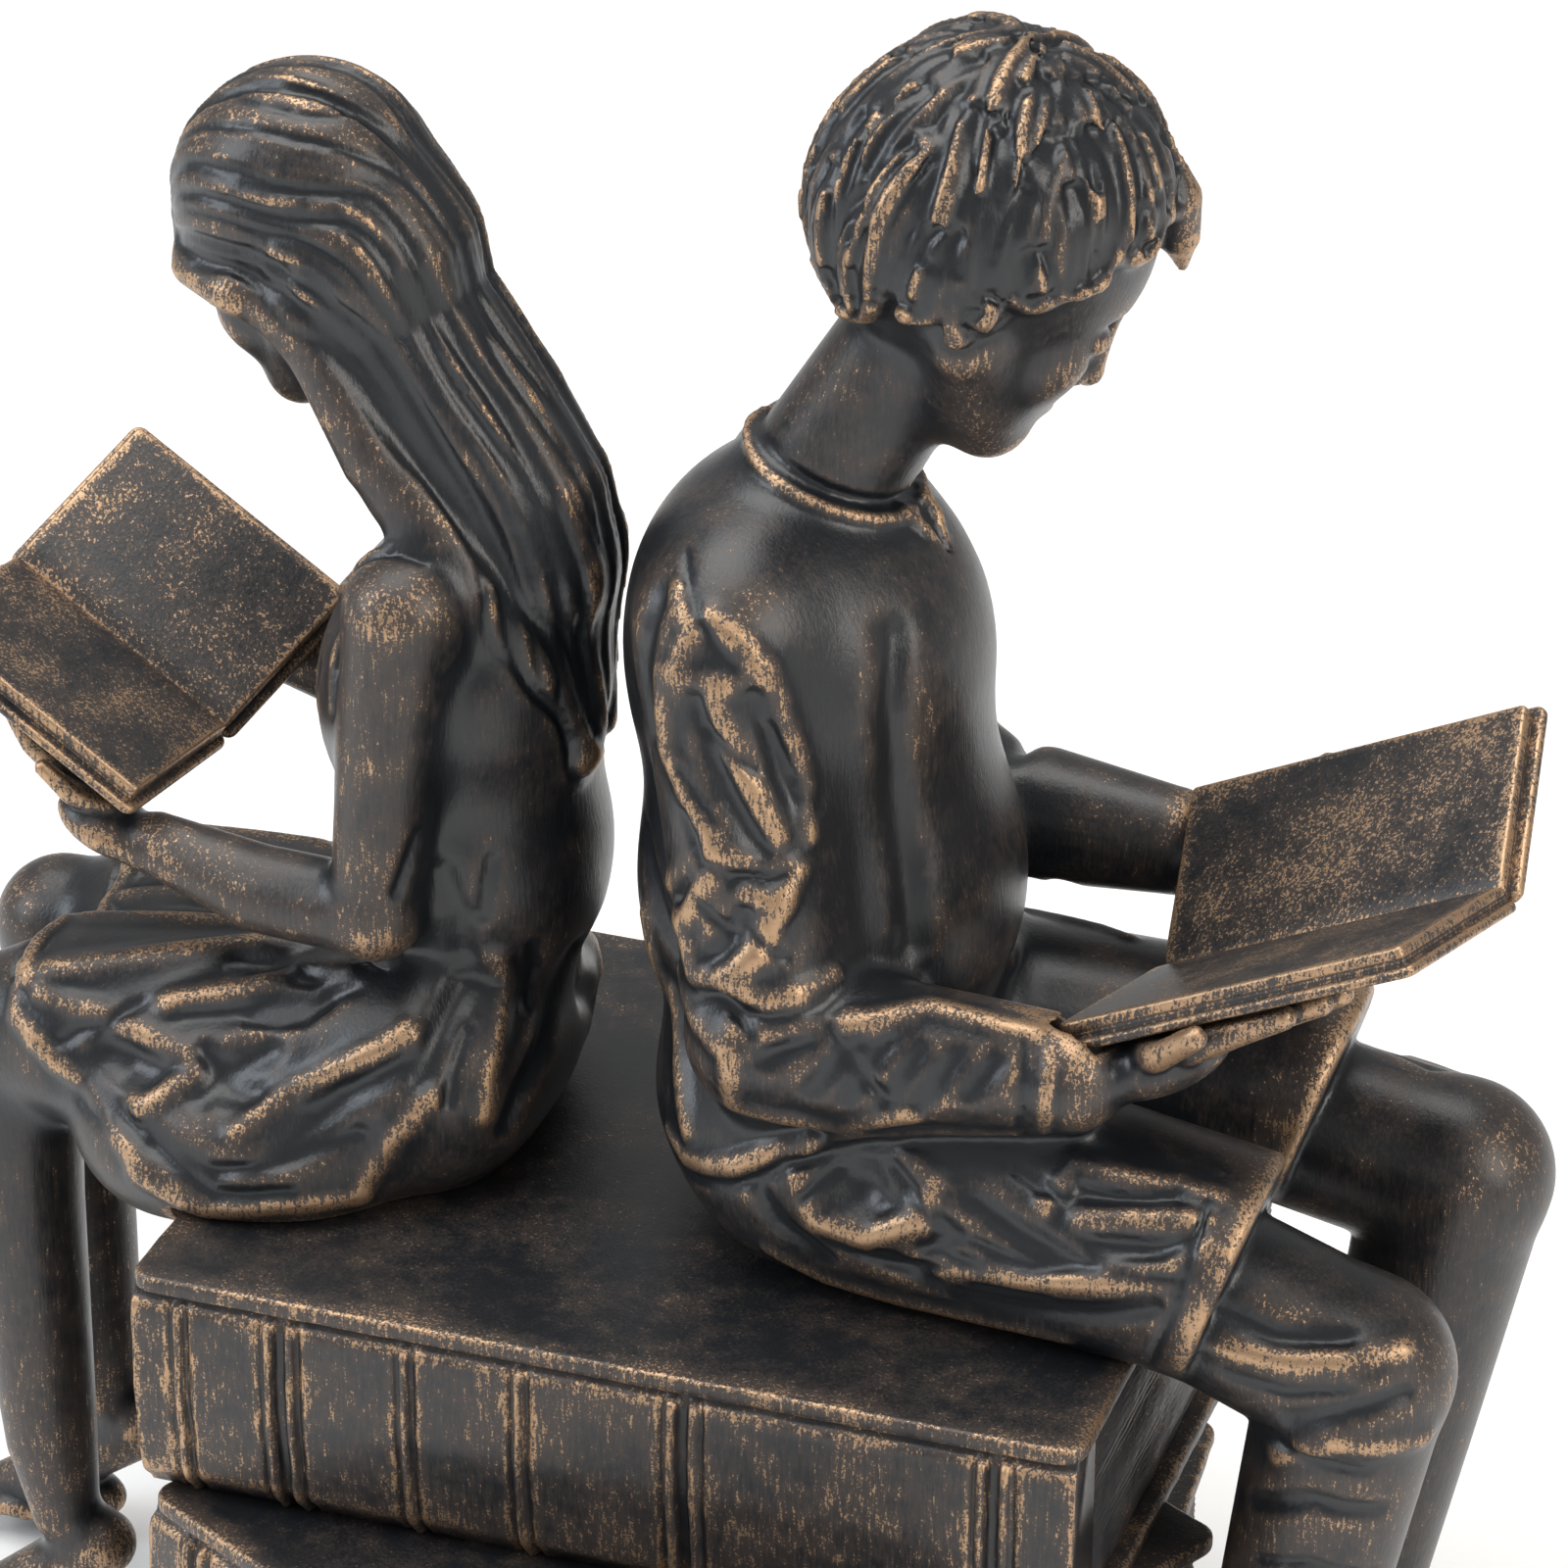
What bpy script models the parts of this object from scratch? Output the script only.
"""Two children reading back to back on a stack of books: the five castings as solids.

Sizes are in millimetres, and MM turns them into metres in the last step. X runs along the back
of the top book, Y points away from the viewer and Z up. Nought is the ground under the middle of
the top book. Each figure is modelled from its seat: its own nought is the middle of the seat.
"""
import math

import bmesh
import bpy
import numpy as np
from mathutils import Matrix
from mathutils.bvhtree import BVHTree

MM = 0.001

# The stack: each book's length along its back, its width and its thickness
TOP_LENGTH = 133.0
TOP_WIDTH = 109.4
TOP_THICK = 35.4
MIDDLE_LENGTH = 106.0
MIDDLE_WIDTH = 101.0
MIDDLE_THICK = 27.6
MIDDLE_TURN = -28.5
LOWEST_LENGTH = 126.0
LOWEST_WIDTH = 104.0
LOWEST_THICK = 33.0
LOWEST_TURN = 5.0
LOWEST_CENTRE = (-1.0, -6.0)
BOARD_THICK = 2.6
BOARD_CORNER = 3.5
LEAF_INSET = 2.4
BAND_PITCH = 3.2
BAND_RISE = 0.7
CHANNEL_DEPTH = 0.8
JOINT_DEPTH = 1.4
SPINE_SHORT = 0.6
FUSED = 0.6

# Colours of the dark resin with bronze rubbed over it, as they look from a few steps away
BOOKS_COLOUR = (0.10, 0.085, 0.075)
FIGURE_COLOUR = (0.13, 0.10, 0.08)
PAGE_COLOUR = (0.16, 0.12, 0.09)

# Raised bands on the backs: place as a share of the length, and how many stand together
TOP_BANDS = ((-0.445, 1), (-0.335, 2), (-0.2, 1), (-0.078, 1), (0.094, 2), (0.414, 2))
MIDDLE_BANDS = ((-0.4, 2), (-0.2, 1), (0.0, 2), (0.2, 1), (0.4, 2))
LOWEST_BANDS = ((-0.4, 1), (-0.24, 2), (-0.06, 1), (0.1, 2), (0.27, 1), (0.41, 1))

# The open books: one end of the gutter, the gutter, and the breadth of the near and far halves
BOYS_BOOK = ((60.4, 0.0, 42.0), (46.5, -9.0, 24.7), (-6.8, -26.2, 3.4), (-3.0, 23.2, 14.1))
GIRLS_BOOK = ((-73.0, 0.0, 55.0), (-32.7, 4.9, 18.5), (-3.0, -23.6, 1.0), (9.9, 20.0, 12.2))
COVER_THICK = 1.4
LEAVES_THICK = 2.5
COVER_LIP = 1.2

# The boy's hair: where each ring of locks starts, in degrees from the crown, and how many
HAIR_RINGS = ((4, 6), (24, 10), (44, 13), (64, 15), (84, 15))
LOCK_REACH = 50
LOCK_SHAPE = (0.6, 0.9, 1.0, 0.95, 0.78, 0.52, 0.2)

# Locks of the fringe: the way they point from the crown, where they start, and their curl
FRINGE = ((-0.35, 36, 0.8), (0.05, 40, -0.7), (0.4, 38, 0.9))

# The figures: heights from the seat to the crown, how finely they are worked, and clearances
BOY_HEIGHT = 168.6
GIRL_HEIGHT = 153.2
CELL = 1.6
FIGURE_TRIANGLES = 2900
SEAT_GAP = 0.35
EDGE_GAP = 1.2
HAND_GAP = 0.8
GROUND_GAP = 1.0
BACK_PLANE = -12.9
BACK_GAP = 0.6

# What the drawn figures measure in their own units, which are mm at the heights above
BOY_DRAWN = 168.6
GIRL_DRAWN = 153.2
SEAT_EDGE = 66.5

# Folds as drawn on a side view: x forward along the thigh line, z up from the seat
SLEEVE_RIDGES = (
    ((3, 85), (5, 90), (9, 90), (12, 81), (18, 70)),
    ((2, 90), (3, 80), (11, 68)),
    ((11, 90), (15, 92), (18, 82), (21, 69)),
    ((10, 68), (4, 60), (5, 56)),
    ((13, 67), (20, 65), (19, 61), (15, 63)),
    ((10, 64), (6, 56), (8, 50), (14, 51)),
    ((19, 62), (17, 55), (13, 51)),
    ((13, 51), (18, 48), (25, 50)),
    ((14, 44), (26, 45), (38, 47), (52, 46)),
    ((4, 46), (14, 41), (14, 35)),
    ((14, 33), (27, 30), (37, 34)),
)
SLEEVE_CHANNELS = (
    ((7, 89), (12, 76), (17, 67)),
    ((14, 91), (18, 78), (21, 72)),
    ((15, 60), (11, 53)),
    ((7, 64), (3, 56)),
    ((19, 65), (14, 65)),
    ((20, 46), (11, 48)),
    ((26, 46), (19, 41)),
    ((30, 44), (25, 37)),
    ((34, 44), (29, 36)),
    ((38, 43), (34, 36)),
    ((43, 43), (38, 36)),
    ((48, 43), (45, 39)),
)
SHIRT_CHANNELS = (
    ((20, 94), (21, 74), (24, 50)),
    ((28, 92), (29, 72), (32, 50)),
    ((34, 86), (36, 68), (38, 52)),
    ((0, 98), (-2, 88), (0, 80)),
    ((-7, 56), (-2, 48), (3, 44)),
)
SHIRT_RIDGES = (
    ((24, 94), (25, 74), (28, 50)),
    ((31, 90), (33, 70), (35, 52)),
    ((3, 100), (6, 96), (4, 91)),
    ((8, 98), (13, 95), (15, 91)),
    ((-6, 46), (-3, 36)),
    ((-1, 37), (1, 27), (4, 21)),
)
SHIRT_HEM = ((0, 18), (4, 17), (12, 20), (20, 25), (30, 29), (40, 31), (50, 32))
TROUSER_RIDGES = (
    ((23, 26), (21, 21), (24, 15), (31, 14), (38, 18), (40, 23), (34, 27)),
    ((55, 23), (58, 27), (66, 26), (77, 26)),
    ((60, 22), (66, 23), (76, 24)),
    ((41, 12), (52, 13), (64, 15), (72, 18), (77, 22)),
    ((17, 8), (24, 4), (34, 3), (58, 4)),
)
TROUSER_CHANNELS = (
    ((59, 25), (65, 25), (72, 26)),
    ((63, 20), (69, 20), (75, 21)),
    ((40, 19), (43, 17), (40, 14), (47, 13)),
    ((44, 8), (53, 8), (63, 10), (71, 13)),
    ((16, 18), (19, 13), (25, 9)),
    ((45, 22), (52, 19), (59, 17)),
    ((33, 12), (40, 9)),
)
TROUSER_HOLLOW = ((28, 22), (32, 20))
LEGGING_RIDGES = (
    ((81, 22), (86, 16), (94, 14), (101, 11)),
    ((78, 7), (88, 6), (102, 8)),
    ((87, -9), (95, -4), (105, -5)),
)
LEGGING_CHANNELS = (
    ((78, 12), (86, 9), (95, 9)),
    ((89, -2), (96, 1), (103, 3)),
    ((84, -18), (92, -14), (100, -16)),
)
SKIRT_RIDGES = (
    ((-72, 25), (-62, 27), (-48, 31)),
    ((-91, 23), (-80, 22), (-68, 20), (-66, 18), (-73, 13)),
    ((-37, 27), (-42, 24), (-52, 18), (-58, 13)),
    ((-33, 19), (-37, 14), (-42, 5)),
    ((-72, 5), (-62, 2), (-52, 4), (-42, 4)),
    ((-28, 35), (-27, 25), (-27, 15)),
)
SKIRT_CHANNELS = (
    ((-69, 24), (-59, 26), (-50, 28)),
    ((-37, 23), (-44, 19), (-52, 11)),
    ((-56, 22), (-61, 19), (-64, 16)),
    ((-65, 20), (-60, 17), (-57, 17)),
    ((-82, 12), (-73, 11), (-60, 8)),
    ((-32, 31), (-34, 21)),
    ((-64, 29), (-53, 30)),
    ((-21, 31), (-23, 20), (-25, 12)),
    ((-34, 48), (-32, 42), (-32, 36)),
)
SKIRT_HOLLOW = ((-79, 18), (-73, 17))
SKIRT_HEM = ((-95, 25), (-94, 20), (-87, 15), (-78, 11), (-71, 6))


class Clay:
    """A block of clay: a grid of distances to the surface, below nought inside."""

    def __init__(self, low, high, step):
        self.low = np.array(low, float)
        self.step = step
        self.count = np.ceil((np.array(high) - self.low) / step).astype(int) + 1
        self.axes = [self.low[i] + step * np.arange(self.count[i]) for i in range(3)]
        self.field = np.full(self.count, 9.0, dtype=np.float32)

    def window(self, points, reach):
        points = np.asarray(points, float).reshape(-1, 3)
        low = points.min(0) - reach
        high = points.max(0) + reach
        spans = []
        for i in range(3):
            first = int(math.floor((low[i] - self.low[i]) / self.step))
            last = int(math.ceil((high[i] - self.low[i]) / self.step)) + 1
            first = min(max(first, 0), int(self.count[i]) - 1)
            last = max(min(last, int(self.count[i])), first + 1)
            spans.append(slice(first, last))
        x = self.axes[0][spans[0]][:, None, None].astype(np.float32)
        y = self.axes[1][spans[1]][None, :, None].astype(np.float32)
        z = self.axes[2][spans[2]][None, None, :].astype(np.float32)
        return tuple(spans), x, y, z

    def blend(self, spans, distance, soft, cut):
        """Adds a shape to the clay, or cuts it away, with a rounded join of width soft."""
        field = self.field[spans]
        if cut:
            h = np.maximum(soft - np.abs(field + distance), 0.0) / soft
            self.field[spans] = np.maximum(field, -distance) + h * h * soft * 0.25
        else:
            h = np.maximum(soft - np.abs(field - distance), 0.0) / soft
            self.field[spans] = np.minimum(field, distance) - h * h * soft * 0.25

    def path(self, points, radii, soft=2.0, cut=False):
        """A limb, lock or fold: a run of round cones through the points."""
        spans, x, y, z = self.window(points, max(radii) + soft + 3.0)
        best = None
        for a, b, ra, rb in zip(points[:-1], points[1:], radii[:-1], radii[1:]):
            v = np.subtract(b, a)
            t = (x - a[0]) * v[0] + (y - a[1]) * v[1] + (z - a[2]) * v[2]
            t = np.clip(t / float(v @ v), 0.0, 1.0)
            d = (x - a[0] - t * v[0]) ** 2 + (y - a[1] - t * v[1]) ** 2
            d = np.sqrt(d + (z - a[2] - t * v[2]) ** 2) - (ra + t * (rb - ra))
            best = d if best is None else np.minimum(best, d)
        self.blend(spans, best, soft, cut)

    def ball(self, centre, radii, soft=2.0, axes=None, cut=False):
        """An ellipsoid; axes hold its three directions as rows."""
        spans, x, y, z = self.window([centre], max(radii) + soft + 3.0)
        x = x - centre[0]
        y = y - centre[1]
        z = z - centre[2]
        p, q, r = x, y, z
        if axes is not None:
            p, q, r = [x * w[0] + y * w[1] + z * w[2] for w in axes]
        k = np.sqrt((p / radii[0]) ** 2 + (q / radii[1]) ** 2 + (r / radii[2]) ** 2)
        m = (p / radii[0] ** 2) ** 2 + (q / radii[1] ** 2) ** 2 + (r / radii[2] ** 2) ** 2
        d = k * (k - 1.0) / np.sqrt(m + 1e-9)
        self.blend(spans, np.where(k < 0.05, -min(radii), d), soft, cut)

    def slab(self, origin, axes, low, high, soft):
        """Cuts away a box that is given along its own axes."""
        corners = []
        for i in range(8):
            p = [(low, high)[i >> k & 1][k] for k in range(3)]
            corners.append(np.add(origin, np.array(p) @ axes))
        spans, x, y, z = self.window(corners, soft + 3.0)
        out = 0.0
        inner = None
        for k in range(3):
            w = axes[k]
            d = (x - origin[0]) * w[0] + (y - origin[1]) * w[1] + (z - origin[2]) * w[2]
            d = np.abs(d - (low[k] + high[k]) / 2) - (high[k] - low[k]) / 2
            out = out + np.maximum(d, 0.0) ** 2
            inner = d if inner is None else np.maximum(inner, d)
        self.blend(spans, np.sqrt(out) + np.minimum(inner, 0.0), soft, True)

    def sample(self, points):
        """The field and its slope at any points."""
        q = (np.asarray(points, float) - self.low) / self.step
        i = np.clip(np.floor(q).astype(int), 1, self.count - 3)
        t = np.clip(q - i, 0.0, 1.0)
        value = np.zeros(len(q))
        slope = np.zeros((len(q), 3))
        for corner in np.ndindex(2, 2, 2):
            share = np.prod(np.abs(1 - np.array(corner) - t), axis=1)
            j = i + corner
            value += share * self.field[j[:, 0], j[:, 1], j[:, 2]]
            for axis in range(3):
                up = j.copy()
                up[:, axis] += 1
                down = j.copy()
                down[:, axis] -= 1
                rise = self.field[up[:, 0], up[:, 1], up[:, 2]]
                rise = rise - self.field[down[:, 0], down[:, 1], down[:, 2]]
                slope[:, axis] += share * rise / (2 * self.step)
        return value, slope / (np.linalg.norm(slope, axis=1)[:, None] + 1e-9)

    def settle(self, points, lift):
        """Moves points to a height above the surface."""
        p = np.array(points, float)
        for _ in range(4):
            value, slope = self.sample(p)
            p = p - np.clip(value - lift, -3.0, 3.0)[:, None] * slope * 0.9
        return p

    def seen(self, x, z, side):
        """Where a line along y from one side, -1 near or 1 far, first meets the clay."""
        i = int(round((x - self.low[0]) / self.step))
        k = int(round((z - self.low[2]) / self.step))
        column = np.nonzero(self.field[i, :, k] < 0)[0]
        if len(column) == 0:
            return None
        j = column[0] if side < 0 else column[-1]
        return (x, self.axes[1][j], z)

    def draw(self, lines, side, radius, soft, cut=False):
        """Ridges or channels drawn on the side view and laid on that side of the surface."""
        rows = []
        for line in lines:
            dense = []
            for a, b in zip(line[:-1], line[1:]):
                for t in (0.0, 0.5):
                    dense.append((a[0] * (1 - t) + b[0] * t, a[1] * (1 - t) + b[1] * t))
            dense.append(line[-1])
            spots = [self.seen(x, z, side) for x, z in dense]
            spots = [s for s in spots if s is not None and s[1] * side > 0]
            if len(spots) > 1:
                rows.append(self.settle(spots, 0.35 * radius if cut else -0.25 * radius))
        for spots in rows:
            n = len(spots)
            taper = [0.45 + 0.55 * math.sin(math.pi * (k + 0.6) / (n + 0.2)) for k in range(n)]
            self.path(spots, [radius * t for t in taper], soft, cut)


def directions(pitch, yaw):
    """Face, side and crown directions of a head or hand bent down and turned."""
    p = math.radians(pitch)
    y = math.radians(yaw)
    face = np.array([math.cos(p) * math.cos(y), math.cos(p) * math.sin(y), -math.sin(p)])
    side = np.array([-math.sin(y), math.cos(y), 0.0])
    crown = np.array([math.sin(p) * math.cos(y), math.sin(p) * math.sin(y), math.cos(p)])
    return face, side, crown


class Head:
    """A child's head, about 40 units from chin to crown."""

    def __init__(self, centre, pitch, yaw, scale):
        self.centre = np.array(centre, float)
        self.axes = directions(pitch, yaw)
        self.scale = scale

    def at(self, f, s, u):
        face, side, crown = self.axes
        return self.centre + self.scale * (f * face + s * side + u * crown)

    def ball(self, c, place, radii, soft, cut=False):
        c.ball(self.at(*place), [r * self.scale for r in radii], soft, self.axes, cut)

    def path(self, c, places, radii, soft, cut=False):
        c.path([self.at(*p) for p in places], [r * self.scale for r in radii], soft, cut)

    def skull(self, c):
        self.ball(c, (0, 0, 3), (19.5, 16, 19), 3)
        self.ball(c, (8, 0, -9), (11.5, 11.5, 14.5), 4)
        self.ball(c, (14.5, 0, -17.8), (4.8, 5, 4.2), 3)
        for s in (-1, 1):
            self.path(c, ((2, 12 * s, -9), (13.5, 3.5 * s, -18.6)), (4.5, 3.2), 4)
            self.ball(c, (13, 7 * s, -6.5), (4.2, 4.6, 5.2), 3)
            self.ball(c, (18.6, 6.2 * s, -1.2), (3.2, 4.2, 2.6), 2, cut=True)
            self.ball(c, (15.8, 6.2 * s, -1.6), (2.6, 3.6, 2.2), 0.8)
            self.ball(c, (-1, 15.6 * s, -3), (3.4, 1.8, 4.6), 1)
        self.path(c, ((17.6, 0, 2), (20.6, 0, -6.8)), (1.7, 2.1), 2)
        self.path(c, ((17.4, -2.6, -13.4), (18.6, 0, -13.4), (17.4, 2.6, -13.4)), (1, 1.6, 1), 1.5)


def boys_head():
    return Head((33.6, 2, 141.2), 36, 26, 1.07)


def girls_head():
    return Head((-57.5, 1, 130.5), 32, 178, 0.89)


def boy_body(c):
    """Shirt, neck, skull, sleeves and legs, without folds."""
    c.ball((11.5, 0, 79), (24, 27, 29), 8)
    c.ball((14.5, 0, 48), (26, 27, 30), 8)
    c.ball((14.5, -1, 19), (22.5, 30, 20), 8)
    c.path([(7.5, -15, 93.5), (7.5, 15, 93.5)], [11.5, 11.5], 8)
    c.ball((6, 0, 88), (15.5, 20, 17), 8)
    c.path([(12, 0, 104), (25, 1, 126)], [10.5, 9.6], 5)
    head = boys_head()
    head.skull(c)
    c.path([(7, -20.5, 91), (16, -28.5, 40)], [11.6, 11], 5)
    c.path([(16, -28.5, 38), (56, -27, 39)], [11, 7.6], 3)
    c.path([(5, 22, 94), (19, 29, 46)], [12, 11], 5)
    c.path([(19, 29, 46), (54, 26, 46)], [11, 7.4], 3)
    for side, knee in ((-1, (94.5, -22.5, -0.5)), (1, (97.5, 19.5, 6.0))):
        x, y, z = knee
        c.path([(20, 17 * side, 16), (77, y, 12 + 0.6 * z)], [17.5, 16], 6)
        edge = np.array([[0.95, 0, -0.31], [0, 1, 0], [0.31, 0, 0.95]])
        c.slab((77, y, 9), edge, (0, -23, -45), (45, 23, 45), 1.5)
        c.path([(60, y, 13), (x, y, z)], [12, 12.6], 1)
        c.path([(x, y, z), (x - 7, y, z - 42), (x - 14, y, -80)], [12.6, 10.8, 8.4], 2)
        c.path([(x - 15, y, -87.5), (x + 13, y + 2 * side, -89)], [7.3, 6], 4)
    c.ball((66, -22, 41), (11, 8, 5), 2, directions(-28, -8))
    c.ball((65, 23, 47), (11, 8, 5), 2, directions(-28, 0))


def collar(c):
    """A low band round the neck, with a gap between it and the neck."""
    for across, height, radius, soft, cut in ((11.7, 107.6, 1.2, 1.4, False),
                                              (10.6, 109.4, 0.8, 0.8, True)):
        ring = []
        for i in range(25):
            a = 2 * math.pi * i / 24
            ring.append((14.5 + across * math.cos(a), 0.5 + (across + 0.5) * math.sin(a),
                         height - 4.4 * math.cos(a)))
        c.path(ring, [radius] * 25, soft, cut)


def tousled_hair(c, head):
    """Locks in rings round the crown, each curling to one side, with its tip standing off."""
    head.ball(c, (-1.5, 0, 5.5), (17.4, 16.6, 17.0), 2)
    head.ball(c, (-5, 0, 3), (15.6, 16.9, 17.6), 3)
    turn = np.random.RandomState(5)
    locks = []
    for start, number in HAIR_RINGS:
        for i in range(round(number)):
            around = 2 * math.pi * (i + turn.uniform(-0.2, 0.5)) / number
            curl = turn.uniform(0.5, 1.2) * turn.choice((-1, 1))
            size = turn.uniform(2.9, 4.0) * head.scale
            places = lock_places(c, head, around, start, curl, 1.4)
            if places is not None:
                locks.append((places, size))
    for around, start, curl in FRINGE:
        places = lock_places(c, head, around, start, curl, 3.4)
        locks.append((places, 3.6 * head.scale))
    for places, size in locks:
        c.path(places, [size * r for r in LOCK_SHAPE], 0.6)


def lock_places(c, head, around, start, curl, tip):
    """A lock on the head from its root to its tip, or nothing past the hairline."""
    back = np.array([-0.42, 0.0, 0.91])
    front = np.array([0.91, 0.0, 0.42])
    side = np.array([0.0, 1.0, 0.0])
    to_face = math.cos(around)
    limit = 98 - 26 * max(to_face, 0) + 24 * max(-to_face, 0)
    if start > limit - 12:
        return None
    places = []
    lifts = []
    for k in range(7):
        t = k / 6
        polar = math.radians(min(start + LOCK_REACH * t, limit + 8 * t))
        aside = curl * (1.3 * math.sin(5 * t) + 4.5 * t * t)
        a = around + aside / (19 * max(math.sin(polar), 0.6))
        d = math.sin(polar) * (front * math.cos(a) + side * math.sin(a)) + back * math.cos(polar)
        places.append(head.at(*(d * 19.0 + (-1.5, 0, 5.0))))
        lifts.append(-2.8 + 2.6 * min(2 * t, 1) + (tip + 0.2) * t * t)
    return c.settle(places, np.array(lifts))


def long_hair(c, head):
    """Hair combed back from the brow, past the cheeks and down to a point on the back."""
    head.ball(c, (-1.5, 0, 7.5), (20, 17.5, 17.5), 2)
    head.ball(c, (-8, 0, -1), (13, 17, 19), 4)
    fall = [(-49, 0, 127), (-46, 0, 120), (-35.5, 0, 106), (-29, 0, 96.5), (-26, -2, 88)]
    c.path(fall, [15.5, 14, 13.5, 12.5, 11], 4)
    c.path([(-26, 4, 88), (-20, -4, 62)], [10, 3], 4)
    for s in (-1, 1):
        head.path(c, ((15, 9.5 * s, 4), (8, 14 * s, -1), (1, 14 * s, -9)), (3.7, 4.2, 4.6), 2)
        c.path([head.at(1, -14 * s, -9), (-44, 12.5 * s, 105), (-37, 11.5 * s, 96)], [4.2, 5, 5], 3)
        c.path([(-40, 11.5 * s, 100), (-31, 12.5 * s, 88), (-24, 9 * s, 76), (-20, 4 * s, 63)],
               [5, 5, 4.5, 2.2], 2.5)


def combed_strands(c, head, rows, radius):
    """Channels that run between a line over the crown and a line past the ear."""
    top = [head.at(15, 0, 17), head.at(2, 0, 25), (-39, 0, 143), (-34, 0, 130), (-31, 0, 122),
           (-25, 0, 116), (-18, 0, 107), (-15, 0, 92), (-15, 0, 80), (-17, 0, 68), (-20, -2, 61)]
    ear = [head.at(17.5, 8, 8), head.at(9, 16, 3), (-51, -15, 126), (-46, -15.5, 119),
           (-43, -15, 112), (-39, -14, 104), (-35, -13.5, 97), (-31, -13, 89), (-27, -12, 80),
           (-24, -9, 70), (-21, -5, 61)]
    top = np.array(top)
    ear = np.array(ear)
    strands = []
    for s in (-1, 1):
        for i in range(rows):
            t = (i + 0.5) / rows
            line = top * (1 - t) + ear * t
            line[:, 1] = -s * ear[:, 1] * math.sin(t * math.pi / 2)
            dense = [line[:-1] * (1 - q) + line[1:] * q for q in (0.0, 0.25, 0.5, 0.75)]
            dense = np.stack(dense, 1).reshape(-1, 3)
            spots = c.settle(dense, 0.3)
            height, _ = c.sample(spots)
            spots = spots[np.abs(height - 0.3) < 0.5]
            if len(spots) > 12:
                strands.append(spots)
    for spots in strands:
        n = len(spots)
        radii = [radius * (0.35 + 0.65 * math.sin(math.pi * (j + 0.5) / n)) for j in range(n)]
        c.path(spots, radii, 1.2, cut=True)


def girl_body(c):
    """Dress, neck, skull, bare arms and legs, without folds."""
    c.ball((-36, 0, 70), (18.5, 20, 22), 6)
    c.ball((-35.5, 0, 44), (17.5, 19, 24), 6)
    c.ball((-40, -3, 16), (18, 25, 19), 6)
    c.path([(-38, -15, 86), (-38, 15, 86)], [8, 8], 5)
    for s in (-1, 1):
        c.ball((-45.5, 8 * s, 68), (8, 8, 11), 6)
    c.path([(-38, 0, 92), (-47, 0, 114)], [7.2, 6.8], 4)
    girls_head().skull(c)
    c.path([(-39, -19, 86), (-43, -21.5, 42)], [7.6, 5.9], 4)
    c.path([(-43, -21.5, 42), (-60, -20, 42), (-76, -18, 45)], [6.2, 6, 4.4], 2)
    c.path([(-39, 19, 86), (-56, 22, 52)], [7.6, 5.9], 4)
    c.path([(-56, 22, 52), (-76, 20, 58)], [5.9, 4.4], 2)
    for side, knee in ((-1, (-99.5, -17, 12.5)), (1, (-106.5, 14, 11.0))):
        x, y, z = knee
        c.path([(-40, 12 * side, 14), (x, y, z)], [13.5, 9.3], 4)
        c.path([(x, y, z), (x - 0.5, y, z - 28), (x + 1.5, y, -56), (x + 3, y, -68)],
               [9, 8.6, 6.6, 5], 2)
        c.path([(x + 8.5, y, -73), (x - 10, y + side, -87), (x - 17, y + side, -90)],
               [5, 4.4, 3], 3)
    c.path([(-42, -14, 14), (-88, -16, 14)], [17, 13.5], 6)
    c.path([(-43, 12, 14), (-88, 14, 14)], [16, 12.5], 6)
    c.ball((-62, 0, 13), (34, 22, 11), 6)
    c.ball((-62, -26, 5.5), (22, 13.5, 12), 6)
    c.ball((-74, -22, 4), (12, 12, 12), 6)
    c.ball((-83, -17.5, 46.5), (8, 5.5, 3.4), 2, directions(-22, 176))
    c.ball((-81, 18, 61), (7, 5.5, 3.4), 2, directions(-28, 180))


def half_frame(book, which):
    """Length, breadth and axes (along, across, up from the page) of half an open book."""
    along = np.array(book[1], float)
    length = float(np.linalg.norm(along))
    e1 = along / length
    across = np.array(book[which], float)
    across = across - (across @ e1) * e1
    breadth = float(np.linalg.norm(across))
    e2 = across / breadth
    e3 = np.cross(e1, e2)
    if e3[2] < 0:
        e3 = -e3
    return length, breadth, np.array([e1, e2, e3])


def clear_book(c, book, scale):
    """Keeps the hands clear of the book that they hold."""
    for which in (2, 3):
        length, breadth, axes = half_frame(book, which)
        reach = (COVER_LIP + HAND_GAP) / scale
        low = (-reach, -reach, -(COVER_THICK + LEAVES_THICK + HAND_GAP) / scale)
        high = (length + reach, breadth + reach, HAND_GAP / scale)
        c.slab(book[0], axes, low, high, 0.1)


def clear_stack(c, side, scale):
    """Flattens the seat on the top book, whose end face lies on one side, -1 or 1."""
    far = 160.0
    half = (TOP_WIDTH / 2 + EDGE_GAP) / scale
    axes = np.diag((float(side), 1.0, 1.0))
    origin = (side * (SEAT_EDGE + EDGE_GAP / scale), 0, 0)
    c.slab(origin, axes, (-far, -half, -far), (0.0, half, SEAT_GAP / scale), 0.1)


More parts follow.
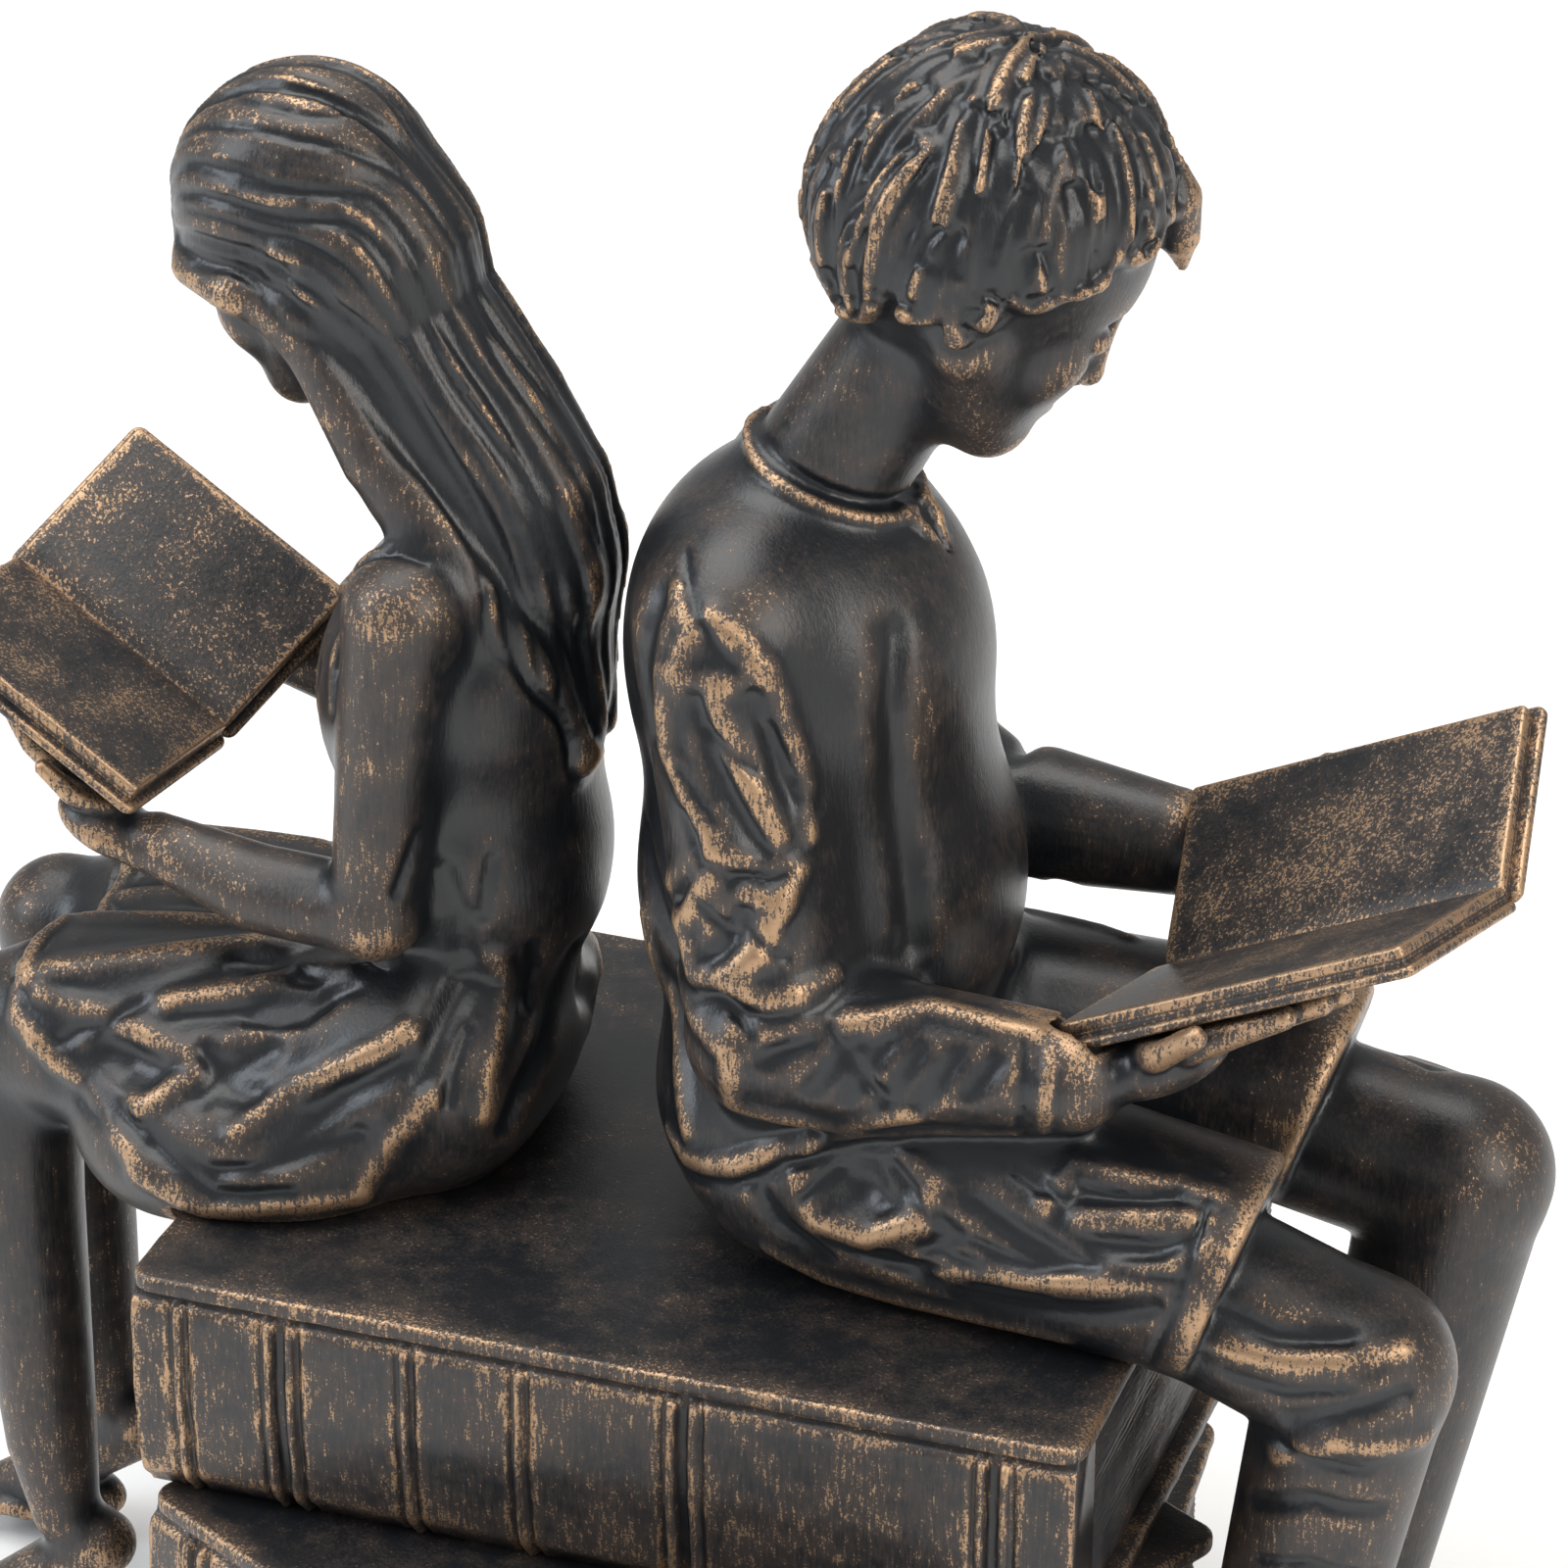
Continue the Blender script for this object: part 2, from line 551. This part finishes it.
def boy_clay():
    c = Clay((-22, -47, -99), (121, 47, 178), CELL)
    boy_body(c)
    head = boys_head()
    tousled_hair(c, head)
    collar(c)
    for side in (-1, 1):
        c.draw(SLEEVE_CHANNELS, side, 1.8, 1.8, cut=True)
        c.draw(SLEEVE_RIDGES, side, 1.5, 2.0)
        c.draw(SHIRT_CHANNELS, side, 1.7, 4.0, cut=True)
        c.draw(SHIRT_RIDGES, side, 1.3, 4.0)
        c.draw((SHIRT_HEM,), side, 1.7, 1.2)
        c.draw(TROUSER_CHANNELS, side, 1.7, 1.9, cut=True)
        c.draw((TROUSER_HOLLOW,), side, 4.0, 3.0, cut=True)
        c.draw(TROUSER_RIDGES, side, 1.5, 2.0)
        c.draw(LEGGING_CHANNELS, side, 1.6, 2.5, cut=True)
        c.draw(LEGGING_RIDGES, side, 1.5, 2.8)
    return c


def girl_clay():
    c = Clay((-131, -46, -99), (-8, 40, 160), CELL)
    girl_body(c)
    head = girls_head()
    long_hair(c, head)
    combed_strands(c, head, 5, 1.4)
    for side in (-1, 1):
        c.draw(SKIRT_CHANNELS, side, 1.7, 3.2, cut=True)
        c.draw((SKIRT_HOLLOW,), side, 3.0, 3.0, cut=True)
        c.draw(SKIRT_RIDGES, side, 1.4, 3.4)
        c.draw((SKIRT_HEM,), side, 1.3, 1.8)
    return c


def skin_of(c):
    """The closed surface of the clay: each cell is cut into six tetrahedra."""
    f = c.field.astype(float)
    f[np.abs(f) < 1e-4] = 1e-4
    inside = f < 0
    shape = np.array(f.shape)
    cells = shape - 1
    total = np.zeros(cells, int)
    for i, j, k in np.ndindex(2, 2, 2):
        total += inside[i:i + cells[0], j:j + cells[1], k:k + cells[2]]
    active = np.argwhere((total > 0) & (total < 8))
    flat = np.array([shape[1] * shape[2], shape[2], 1])
    keys = []
    for order in ((0, 1, 2), (0, 2, 1), (1, 0, 2), (1, 2, 0), (2, 0, 1), (2, 1, 0)):
        corner = [np.zeros(3, int)]
        for axis in order:
            step = corner[-1].copy()
            step[axis] += 1
            corner.append(step)
        ids = [(active + q) @ flat for q in corner]
        mask = sum(inside.ravel()[i].astype(int) << k for k, i in enumerate(ids))
        for case in range(1, 15):
            rows = np.nonzero(mask == case)[0]
            if len(rows):
                keys += tetrahedron_faces(case, corner, ids, rows)
    keys = np.concatenate(keys)
    edges, faces = np.unique(keys, return_inverse=True)
    code = edges % 7 + 1
    a = np.stack(np.unravel_index(edges // 7, f.shape), 1)
    b = a + np.stack([code & 1, code >> 1 & 1, code >> 2 & 1], 1)
    fa = f[a[:, 0], a[:, 1], a[:, 2]]
    fb = f[b[:, 0], b[:, 1], b[:, 2]]
    t = np.clip(fa / (fa - fb), 0.08, 0.92)
    return (a + t[:, None] * (b - a)) * c.step + c.low, faces.reshape(-1, 3)


def tetrahedron_faces(case, corner, ids, rows):
    """Faces that part the inner corners of a tetrahedron from the outer ones."""
    within = [k for k in range(4) if case >> k & 1]
    without = [k for k in range(4) if not case >> k & 1]
    if len(within) == 2:
        i, j = within
        a, b = without
        loops = [[(i, a), (i, b), (j, b)], [(i, a), (j, b), (j, a)]]
    else:
        lone = within[0] if len(within) == 1 else without[0]
        loops = [[(lone, k) for k in range(4) if k != lone]]
    outward = np.mean([corner[k] for k in without], 0) - np.mean([corner[k] for k in within], 0)
    made = []
    for loop in loops:
        mids = [(corner[p] + corner[q]) / 2.0 for p, q in loop]
        if np.cross(mids[1] - mids[0], mids[2] - mids[0]) @ outward < 0:
            loop = loop[::-1]
        column = []
        for p, q in loop:
            p, q = min(p, q), max(p, q)
            kind = int((corner[q] - corner[p]) @ (1, 2, 4)) - 1
            column.append(ids[p][rows] * 7 + kind)
        made.append(np.stack(column, 1))
    return made


def baked(made, name, home):
    """The plain mesh that an object's modifiers give, as a new object."""
    graph = bpy.context.evaluated_depsgraph_get()
    mesh = bpy.data.meshes.new_from_object(made.evaluated_get(graph))
    mesh.name = name
    done = bpy.data.objects.new(name, mesh)
    home.objects.link(done)
    return done


def seat(made, shift, scale):
    """Sets a figure down: its under side stays off the book, and its feet off the ground."""
    n = len(made.data.vertices)
    flat = np.empty(n * 3)
    made.data.vertices.foreach_get("co", flat)
    p = flat.reshape(-1, 3) * scale
    p[:, 0] += shift
    over = np.abs(p[:, 0]) < TOP_LENGTH / 2 + EDGE_GAP * 0.7
    over &= np.abs(p[:, 1]) < TOP_WIDTH / 2 + EDGE_GAP * 0.7
    over &= p[:, 2] > -3
    p[:, 2] = np.where(over, np.maximum(p[:, 2], SEAT_GAP), p[:, 2])
    p[:, 2] = np.maximum(p[:, 2] + TOP_THICK + MIDDLE_THICK + LOWEST_THICK, GROUND_GAP)
    made.data.vertices.foreach_set("co", (p * MM).ravel())
    made.data.update()


def sound(made):
    """True where every edge has two faces and no face crosses another."""
    skin = bmesh.new()
    skin.from_mesh(made.data)
    bmesh.ops.triangulate(skin, faces=skin.faces)
    skin.faces.ensure_lookup_table()
    good = all(e.is_manifold for e in skin.edges)
    tree = BVHTree.FromBMesh(skin)
    for a, b in tree.overlap(tree):
        if a < b and not set(skin.faces[a].verts) & set(skin.faces[b].verts):
            good = False
            break
    skin.free()
    return good


def cast_figure(name, c, shift, scale, home):
    points, faces = skin_of(c)
    mesh = bpy.data.meshes.new(name)
    mesh.from_pydata(points.tolist(), [], faces.tolist())
    rough = bpy.data.objects.new(name + "_rough", mesh)
    bpy.context.scene.collection.objects.link(rough)
    even = rough.modifiers.new("even", 'SMOOTH')
    even.factor = 0.5
    even.iterations = 5
    fewer = rough.modifiers.new("fewer", 'DECIMATE')
    done = None
    for attempt in range(6):
        if done is not None:
            bpy.data.objects.remove(done)
        fewer.ratio = (FIGURE_TRIANGLES - 60 * attempt) / len(faces)
        done = baked(rough, name, home)
        seat(done, shift, scale)
        if sound(done):
            break
    bpy.data.objects.remove(rough)
    done.data.shade_smooth()
    return done


def united(pieces, name, home):
    """One solid from overlapping ones."""
    for other in pieces[1:]:
        join = pieces[0].modifiers.new(other.name, 'BOOLEAN')
        join.operation = 'UNION'
        join.solver = 'EXACT'
        join.object = other
    done = baked(pieces[0], name, home)
    for piece in pieces:
        bpy.data.objects.remove(piece)
    return done


def linked(name, skin, matrix):
    """An object from a bmesh in millimetres, set in its place in metres."""
    bmesh.ops.triangulate(skin, faces=skin.faces)
    bmesh.ops.recalc_face_normals(skin, faces=skin.faces)
    skin.transform(Matrix.Scale(MM, 4) @ matrix)
    mesh = bpy.data.meshes.new(name)
    skin.to_mesh(mesh)
    skin.free()
    made = bpy.data.objects.new(name, mesh)
    bpy.context.scene.collection.objects.link(made)
    return made


def board(name, low, high, corner, segments, matrix):
    """A board or a block of leaves: a box whose upright edges are rounded."""
    skin = bmesh.new()
    bmesh.ops.create_cube(skin, size=1.0)
    low = np.array(low, float)
    high = np.array(high, float)
    for v in skin.verts:
        v.co = (low + high) / 2 + np.array(v.co) * (high - low)
    upright = []
    for e in skin.edges:
        if abs(e.verts[0].co.z - e.verts[1].co.z) > 1e-6:
            upright.append(e)
    bmesh.ops.bevel(skin, geom=upright, offset=corner, segments=segments, profile=0.5,
                    affect='EDGES')
    return linked(name, skin, matrix)


def spine(name, length, width, thick, bands, matrix):
    """The back of a book: its section swept along x, with raised bands between channels."""
    end = length / 2 - SPINE_SHORT
    stations = [(-end, 0.0)]
    for share, together in bands:
        number = round(together)
        x = share * length - (number - 1) * BAND_PITCH / 2
        stations.append((x - 1.9, 0.0))
        for _ in range(number):
            stations += [(x - 1.0, -CHANNEL_DEPTH), (x - 0.5, BAND_RISE)]
            stations += [(x + 0.5, BAND_RISE), (x + 1.0, -CHANNEL_DEPTH)]
            x += BAND_PITCH
        stations.append((x - BAND_PITCH + 1.9, 0.0))
    stations.append((end, 0.0))
    # Each row: depth from the top, how far out it stands, and whether the bands raise it
    joint = BOARD_THICK + 0.5
    section = [(BOARD_THICK / 2, -JOINT_DEPTH, 0), (joint, -JOINT_DEPTH, 0),
               (joint + 0.8, 0.3, 1), (0.5 * thick, 0.8, 1), (thick - 4.5, -0.5, 1),
               (thick - 0.7, -4.0, 1)]
    inner = -width / 2 + 9.0
    skin = bmesh.new()
    rings = []
    for x, rise in stations:
        ring = [skin.verts.new((x, inner, -section[0][0]))]
        for depth, out, banded in section:
            ring.append(skin.verts.new((x, -width / 2 - out - rise * banded, -depth)))
        ring.append(skin.verts.new((x, inner, -section[-1][0])))
        rings.append(ring)
    for one, two in zip(rings[:-1], rings[1:]):
        for k in range(len(one)):
            n = (k + 1) % len(one)
            skin.faces.new((one[k], one[n], two[n], two[k]))
    skin.faces.new(rings[0])
    skin.faces.new(rings[-1])
    return linked(name, skin, matrix)


def closed_book(tag, length, width, thick, bands, centre, top, degrees):
    matrix = Matrix.Translation((centre[0], centre[1], top))
    matrix = matrix @ Matrix.Rotation(math.radians(degrees), 4, 'Z')
    x = length / 2
    y = width / 2
    made = [board(tag + "_top", (-x, -y, -BOARD_THICK), (x, y, 0), BOARD_CORNER, 4, matrix)]
    made.append(board(tag + "_under", (-x, -y + 5, -thick), (x, y, -thick + BOARD_THICK),
                      BOARD_CORNER, 4, matrix))
    made.append(spine(tag + "_spine", length, width, thick, bands, matrix))
    made.append(board(tag + "_leaves", (-x + LEAF_INSET, -y + 6, -thick + BOARD_THICK / 2),
                      (x - LEAF_INSET, y - LEAF_INSET, -BOARD_THICK / 2), 1.0, 1, matrix))
    return made


def stack(home):
    """Three closed books fused into one casting, each turned against the one above."""
    top = TOP_THICK + MIDDLE_THICK + LOWEST_THICK
    made = closed_book("top", TOP_LENGTH, TOP_WIDTH, TOP_THICK, TOP_BANDS, (0, 0), top, 0.0)
    a = math.radians(MIDDLE_TURN)
    along = np.array([math.cos(a), math.sin(a)])
    across = np.array([-math.sin(a), math.cos(a)])
    corner = np.array([-TOP_LENGTH / 2 + 1.0, -TOP_WIDTH / 2 + 0.6])
    centre = corner + along * MIDDLE_LENGTH / 2 + across * MIDDLE_WIDTH / 2
    top = top - TOP_THICK
    made += closed_book("middle", MIDDLE_LENGTH, MIDDLE_WIDTH, MIDDLE_THICK + FUSED,
                        MIDDLE_BANDS, centre, top + FUSED, MIDDLE_TURN)
    top = top - MIDDLE_THICK
    made += closed_book("lowest", LOWEST_LENGTH, LOWEST_WIDTH, LOWEST_THICK + FUSED,
                        LOWEST_BANDS, LOWEST_CENTRE, top + FUSED, LOWEST_TURN)
    return united(made, "stack_of_books", home)


def open_book(name, drawn, shift, scale, home):
    """Two halves that meet in the gutter, each a cover with a block of leaves on it."""
    book = [np.multiply(v, scale) for v in drawn]
    made = []
    for which in (2, 3):
        length, breadth, axes = half_frame(book, which)
        place = np.add(book[0], (shift, 0, TOP_THICK + MIDDLE_THICK + LOWEST_THICK))
        matrix = Matrix([[*axes[:, i], place[i]] for i in range(3)] + [[0, 0, 0, 1]])
        nudge = 0.013 * (which - 2)
        made.append(board(name + "_leaves%d" % which, (nudge, -0.8, -LEAVES_THICK - 0.4),
                          (length - nudge, breadth, 0.0), 0.6, 1, matrix))
        made.append(board(name + "_cover%d" % which,
                          (-COVER_LIP - nudge, -0.9, -LEAVES_THICK - COVER_THICK),
                          (length + COVER_LIP + nudge, breadth + COVER_LIP, -LEAVES_THICK),
                          0.85, 3, matrix))
    return united(made, name, home)


def finish(made, name, colour):
    """Each casting's own material: dark resin with a bronze finish."""
    look = bpy.data.materials.new(name + "_finish")
    look.use_nodes = True
    shader = look.node_tree.nodes["Principled BSDF"]
    shader.inputs["Base Color"].default_value = (*colour, 1.0)
    shader.inputs["Roughness"].default_value = 0.45
    shader.inputs["Metallic"].default_value = 0.35
    made.data.materials.clear()
    made.data.materials.append(look)


def cast_reader(name, c, book, scale, side, home):
    """A figure whose knees pass one end of the top book, and the open book in its hands."""
    shift = side * (TOP_LENGTH / 2 - SEAT_EDGE * scale)
    back = (BACK_PLANE + side * BACK_GAP / 2 - shift) / scale
    clear_book(c, book, scale)
    clear_stack(c, side, scale)
    far = 60.0
    axes = np.diag((float(side), 1.0, 1.0))
    c.slab((back, 0, 60), axes, (-far, -far, -far), (0, far, far), 0.5)
    finish(open_book(name + "s_book", book, shift, scale, home), name + "s_book", PAGE_COLOUR)
    finish(cast_figure(name, c, shift, scale, home), name, FIGURE_COLOUR)


def main():
    for old in list(bpy.data.objects):
        bpy.data.objects.remove(old)
    home = bpy.data.collections.new("reading_figure_sculpture")
    bpy.context.scene.collection.children.link(home)
    finish(stack(home), "stack_of_books", BOOKS_COLOUR)
    cast_reader("boy", boy_clay(), BOYS_BOOK, BOY_HEIGHT / BOY_DRAWN, 1, home)
    cast_reader("girl", girl_clay(), GIRLS_BOOK, GIRL_HEIGHT / GIRL_DRAWN, -1, home)


main()
